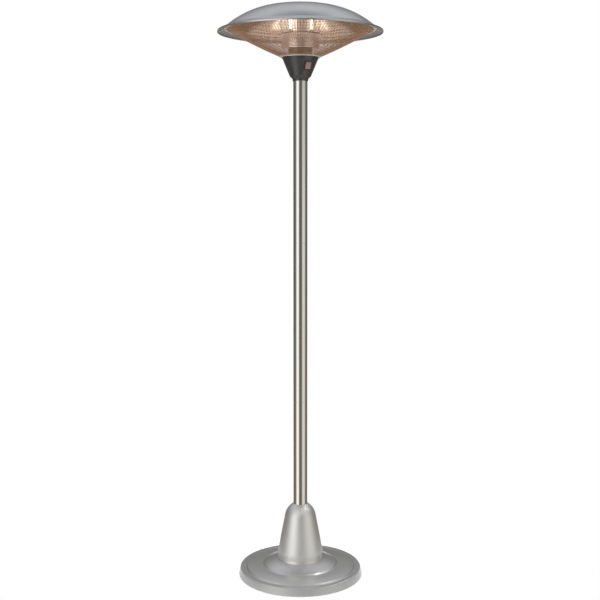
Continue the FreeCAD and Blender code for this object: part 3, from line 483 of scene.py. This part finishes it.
def ring_edge():
    mesh = bpy.data.meshes.new("guard_ring_edge")
    corners = []
    for step in range(RING_EDGE_STEPS):
        turn = 2 * math.pi * step / RING_EDGE_STEPS
        for side in range(RING_EDGE_SIDES):
            roll = 2 * math.pi * side / RING_EDGE_SIDES
            radius = RING_EDGE_RADIUS + RING_EDGE_THICKNESS / 2 * math.cos(roll)
            height = RING_EDGE_HEIGHT + RING_EDGE_THICKNESS / 2 * math.sin(roll)
            corners.append((radius * math.cos(turn), radius * math.sin(turn), height))
    faces = []
    for step in range(RING_EDGE_STEPS):
        here = step * RING_EDGE_SIDES
        ahead = (step + 1) % RING_EDGE_STEPS * RING_EDGE_SIDES
        for side in range(RING_EDGE_SIDES):
            other = (side + 1) % RING_EDGE_SIDES
            faces.append((here + side, ahead + side, ahead + other, here + other))
    mesh.from_pydata(corners, [], faces)
    mesh.shade_smooth()
    mesh.materials.append(materials["guard_wire"])
    edge = bpy.data.objects.new("guard_ring_edge", mesh)
    scene.collection.objects.link(edge)
    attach(edge, "stand")


ring_edge()


# Studio: white backdrop, softboxes painted into the world, lamps, floor and camera
# Turns are degrees from the camera's side, positive to its right. Heights are the z of a direction.

LEFT_BOX_OUTER_EDGE = (-88.0, -50.0)
LEFT_BOX_INNER_EDGE = (-36.0, -14.0)
LEFT_BOX_WIDENING = (0.05, 0.35)
LEFT_BOX_WIDER = 18.0
LEFT_BOX_DIMMING = (0.20, 0.50)
RIGHT_BOX_INNER_EDGE = (18.0, 40.0)
RIGHT_BOX_OUTER_EDGE = (66.0, 100.0)
RIGHT_BOX_DIMMING = (-0.05, 0.10)
BACKDROP_EDGE = (168.0, 176.0)
BACKDROP_TOP = (0.02, 0.10)
DARK_WARMING = (-0.32, -0.05)
CEILING = (0.30, 0.82)
CEILING_MIDDLE = (0.82, 0.95)
GROUND = (-0.76, -0.64)


def studio_world():
    """White for the camera and through glass. What metal and matt surfaces see is a studio: a bright
    softbox to the left of the camera, dimmer and wider high up, a warmer and dimmer one to its right, dark
    between and beside them, a grey ceiling and a pale ground. Metal sees the white backdrop too, where it
    stands behind the object."""
    world = bpy.data.worlds.new("studio")
    world.use_nodes = True
    scene.world = world
    tree = world.node_tree
    way = add(tree, "TexCoord").outputs["Generated"]
    x, y, z = (axis_of(tree, way, index) for index in range(3))
    turn = math_of(tree, "DEGREES", math_of(tree, "ARCTAN2", x, product(tree, y, -1.0)))

    inward = math_of(tree, "SUBTRACT", turn, ramp(tree, z, LEFT_BOX_WIDENING, 0.0, LEFT_BOX_WIDER))
    left = product(tree, rise(tree, turn, LEFT_BOX_OUTER_EDGE), fall(tree, inward, LEFT_BOX_INNER_EDGE))
    right = product(tree, rise(tree, turn, RIGHT_BOX_INNER_EDGE), fall(tree, turn, RIGHT_BOX_OUTER_EDGE))
    behind = rise(tree, math_of(tree, "ABSOLUTE", turn), BACKDROP_EDGE)
    backdrop = product(tree, behind, fall(tree, z, BACKDROP_TOP))

    left_dimmer = rise(tree, z, LEFT_BOX_DIMMING)
    left_light = blend_colour(tree, left_dimmer, (1.48, 1.46, 1.43, 1), (1.08, 1.07, 1.05, 1))
    right_dimmer = rise(tree, z, RIGHT_BOX_DIMMING)
    right_light = blend_colour(tree, right_dimmer, (0.98, 0.96, 0.88, 1), (0.74, 0.73, 0.69, 1))
    warmer = fall(tree, z, DARK_WARMING)
    dark = blend_colour(tree, warmer, (0.165, 0.159, 0.148, 1), (0.225, 0.188, 0.145, 1))
    middle = rise(tree, z, CEILING_MIDDLE)
    ceiling = blend_colour(tree, middle, (0.78, 0.78, 0.805, 1), (0.34, 0.34, 0.355, 1))

    colour = blend_colour(tree, left, dark, left_light)
    colour = blend_colour(tree, right, colour, right_light)
    colour = blend_colour(tree, rise(tree, z, CEILING), colour, ceiling)
    colour = blend_colour(tree, fall(tree, z, GROUND), colour, (0.74, 0.72, 0.69, 1))
    path = add(tree, "LightPath").outputs
    mirrored = product(tree, path["Is Glossy Ray"], backdrop)
    seen = largest(tree, path["Is Camera Ray"], path["Is Transmission Ray"], mirrored)
    colour = blend_colour(tree, seen, colour, grey(1.0))
    fill(tree, tree.nodes["Background"].inputs["Color"], colour)


def soft_lamp(name, place, target, size, power, colour, shows, spread=180.0):
    """A square soft lamp aimed at a point; it may have a narrow spread or be left out of mirror images."""
    light = bpy.data.lights.new(name, "AREA")
    light.size = size
    light.spread = math.radians(spread)
    light.energy = power
    light.color = colour
    lamp = bpy.data.objects.new(name, light)
    scene.collection.objects.link(lamp)
    lamp.location = place
    lamp.rotation_euler = (Vector(target) - Vector(place)).to_track_quat("-Z", "Y").to_euler()
    lamp.visible_camera = False
    lamp.visible_glossy = shows


FLOOR_RADIUS = 0.45
FLOOR_STEPS = 72
FLOOR_WHITENING = (0.27, 0.44)
FLOOR_LIFT = 0.45


def pale_floor():
    """Pale disc that keeps a soft shadow near the base and runs into the white backdrop."""
    mesh = bpy.data.meshes.new("floor")
    corners = []
    for step in range(FLOOR_STEPS):
        turn = 2 * math.pi * step / FLOOR_STEPS
        corners.append((FLOOR_RADIUS * math.cos(turn), FLOOR_RADIUS * math.sin(turn), 0.0))
    mesh.from_pydata(corners, [], [list(range(FLOOR_STEPS))])
    floor = bpy.data.objects.new("floor", mesh)
    scene.collection.objects.link(floor)
    material, tree, shader = new_material("floor_paper")
    place = place_of(tree)
    paper = noise(tree, place, scale=60.0)
    path = add(tree, "LightPath").outputs
    seen = largest(tree, path["Is Camera Ray"], path["Is Glossy Ray"], path["Is Transmission Ray"])
    set_shader(tree, shader, {
        "Base Color": blend_colour(tree, paper, grey(0.80), grey(0.82)),
        "Roughness": 0.9,
        "Specular IOR Level": 0.0,
        "Emission Color": grey(1.0),
        "Emission Strength": product(tree, seen, FLOOR_LIFT),
    })
    white = add(tree, "Emission", {"Color": grey(1.0), "Strength": 1.0}).outputs["Emission"]
    far = product(tree, seen, rise(tree, radius_of(tree, place), FLOOR_WHITENING))
    mixed = add(tree, "MixShader", {0: far, 1: shader.outputs["BSDF"], 2: white})
    fill(tree, tree.nodes["Material Output"].inputs["Surface"], mixed.outputs[0])
    mesh.materials.append(material)


# Camera, fitted to the photograph's ellipses and heights
CAMERA_SIDE = -0.0013
CAMERA_DISTANCE = 3.565
CAMERA_HEIGHT = 1.431
CAMERA_TILT = 6.64
CAMERA_LENS = 60.155
CAMERA_SENSOR = 36.0


def photo_camera():
    lens = bpy.data.cameras.new("camera")
    lens.lens = CAMERA_LENS
    lens.sensor_width = CAMERA_SENSOR
    camera = bpy.data.objects.new("camera", lens)
    scene.collection.objects.link(camera)
    camera.location = (CAMERA_SIDE, -CAMERA_DISTANCE, CAMERA_HEIGHT)
    camera.rotation_euler = (math.radians(90.0 - CAMERA_TILT), 0.0, 0.0)
    scene.camera = camera


AIM_AT_POLE = (0.0, 0.0, 0.9)
AIM_AT_BASE = (0.0, 0.0, 0.05)

studio_world()
soft_lamp(
    "key_lamp", place=(-2.2, -2.8, 3.4), target=AIM_AT_POLE, size=1.8, power=90.0,
    colour=(1.0, 0.99, 0.97), shows=False)
soft_lamp(
    "fill_lamp", place=(2.6, -2.2, 2.4), target=AIM_AT_POLE, size=1.8, power=45.0,
    colour=(1.0, 0.97, 0.92), shows=False)
soft_lamp(
    "high_lamp", place=(2.1, -0.2, 3.4), target=AIM_AT_BASE, size=0.7, power=0.5,
    colour=(1.0, 1.0, 1.0), shows=True, spread=40.0)
pale_floor()
photo_camera()
